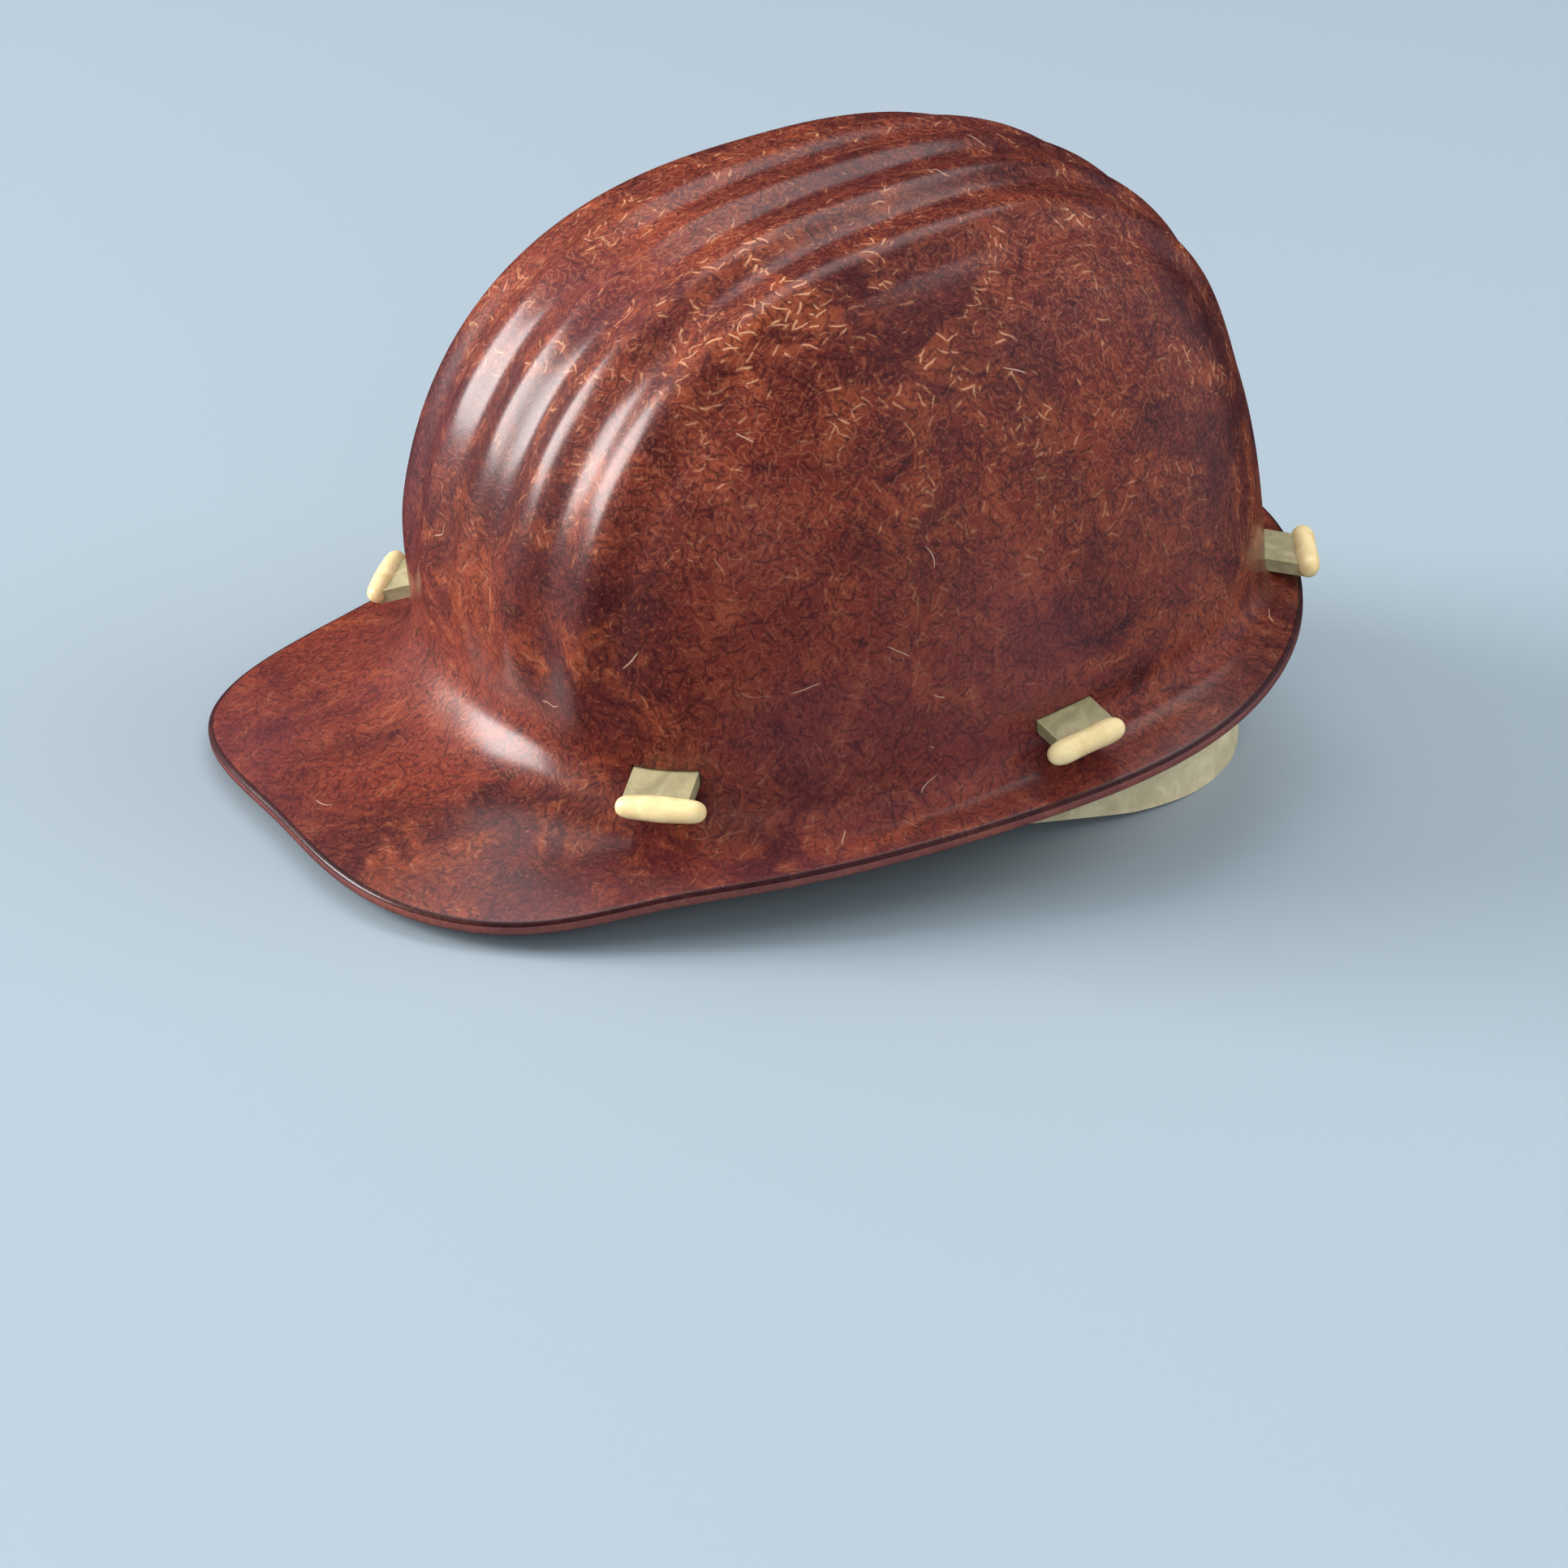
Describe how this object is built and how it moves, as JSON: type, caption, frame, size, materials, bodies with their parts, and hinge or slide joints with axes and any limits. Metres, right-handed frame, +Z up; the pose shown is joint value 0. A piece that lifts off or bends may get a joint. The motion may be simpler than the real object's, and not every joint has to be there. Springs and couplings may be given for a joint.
{
  "type": "miner helmet",
  "caption": "Ribbed moulded miner helmet with a squared duck-bill peak, toggled cradle suspension, headband and sliding nape strap.",
  "frame": {"origin": "on the table under the middle of the bounding box, the helmet standing on its peak and nape strap", "axes": "+X out through the peak, +Y to the wearer's left, +Z up"},
  "size_m": [0.3026, 0.2258, 0.1696],
  "materials": {
    "shell_resin": "glossy, mottled, with short golden fibres",
    "cradle_polyethylene": "aged and slightly translucent",
    "toggle_polyethylene": "satin, yellowed",
    "leather": "worn",
    "rivet_metal": "dull"
  },
  "bodies": {
    "helmet": {"shell": "shell_resin", "cradle_arm_front_left": "cradle_polyethylene", "cradle_arm_front_right": "cradle_polyethylene", "cradle_arm_side_left": "cradle_polyethylene", "cradle_arm_side_right": "cradle_polyethylene", "cradle_arm_rear_left": "cradle_polyethylene", "cradle_arm_rear_right": "cradle_polyethylene", "toggles_front": "toggle_polyethylene", "toggles_side": "toggle_polyethylene", "toggles_rear": "toggle_polyethylene", "crown_disc": "cradle_polyethylene", "crown_pad": "leather", "crown_rivets": "rivet_metal", "headband": "cradle_polyethylene", "headband_rivets": "rivet_metal", "sweatband": "leather", "size_pegs": "toggle_polyethylene"},
    "nape": {"nape_strap": "cradle_polyethylene", "nape_pad": "leather"}
  },
  "joints": [
    {"name": "nape_size", "type": "slide", "parent": "helmet", "child": "nape", "axis": [-0.9948, 0, -0.1015], "range_m": [-0.012, 0.012]}
  ]
}
